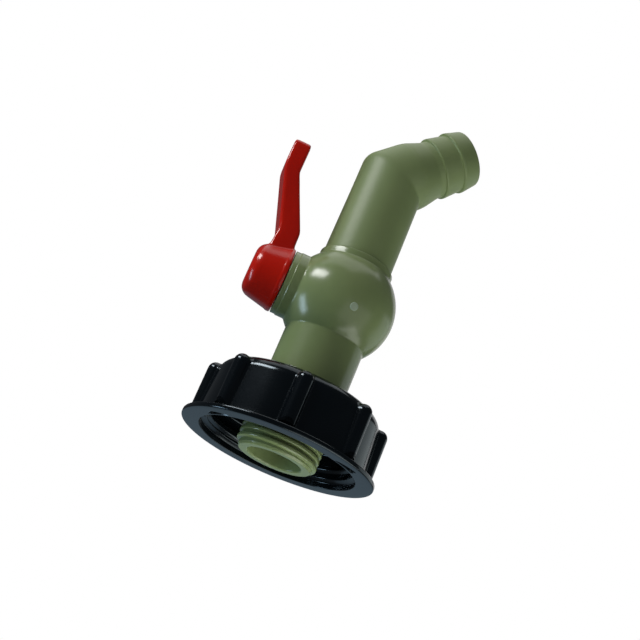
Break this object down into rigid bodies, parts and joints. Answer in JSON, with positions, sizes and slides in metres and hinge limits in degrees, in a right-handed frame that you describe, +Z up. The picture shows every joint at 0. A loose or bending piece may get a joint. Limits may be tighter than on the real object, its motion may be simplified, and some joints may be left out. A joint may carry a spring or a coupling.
{
  "type": "tank tap adapter",
  "caption": "Tap adapter for a tank outlet: ribbed black screw cap, olive ball valve with a red quarter-turn lever, and a bent spout with a barbed hose tail.",
  "frame": {"origin": "centre of the open end of the inlet spigot, on the plane that the part stands on", "axes": "+Z up along the inlet axis from the spigot's open end to the ball, +X towards the side that the outlet leans to, the lever on the -X side"},
  "size_m": [0.0832, 0.0792, 0.1619],
  "materials": {
    "black_cap": "glossy moulded polypropylene",
    "olive_body": "satin moulded polypropylene",
    "red_handle": "glossy moulded plastic",
    "black_rubber": "matt moulded rubber",
    "white_seat": "matt slippery seat plastic",
    "ball_plastic": "polished plastic",
    "stem_plastic": "plain moulded plastic",
    "screw_steel": "stainless steel"
  },
  "bodies": {
    "body": {"cap_nut": "black_cap", "cap_gasket": "black_rubber", "valve_body": "olive_body", "outlet_spout": "olive_body", "seat_inlet": "white_seat", "seat_outlet": "white_seat", "seat_cushion_inlet": "black_rubber", "seat_cushion_outlet": "black_rubber", "thrust_washer": "white_seat"},
    "handle": {"ball": "ball_plastic", "stem": "stem_plastic", "stem_ring_inner": "black_rubber", "stem_ring_outer": "black_rubber", "handle": "red_handle", "handle_screw": "screw_steel", "handle_washer": "screw_steel", "handle_plug": "red_handle"}
  },
  "joints": [
    {"name": "lever_turn", "type": "hinge", "parent": "body", "child": "handle", "pos_m": [0, 0, 0.068], "axis": [1, 0, 0], "range_deg": [0, 90]}
  ]
}
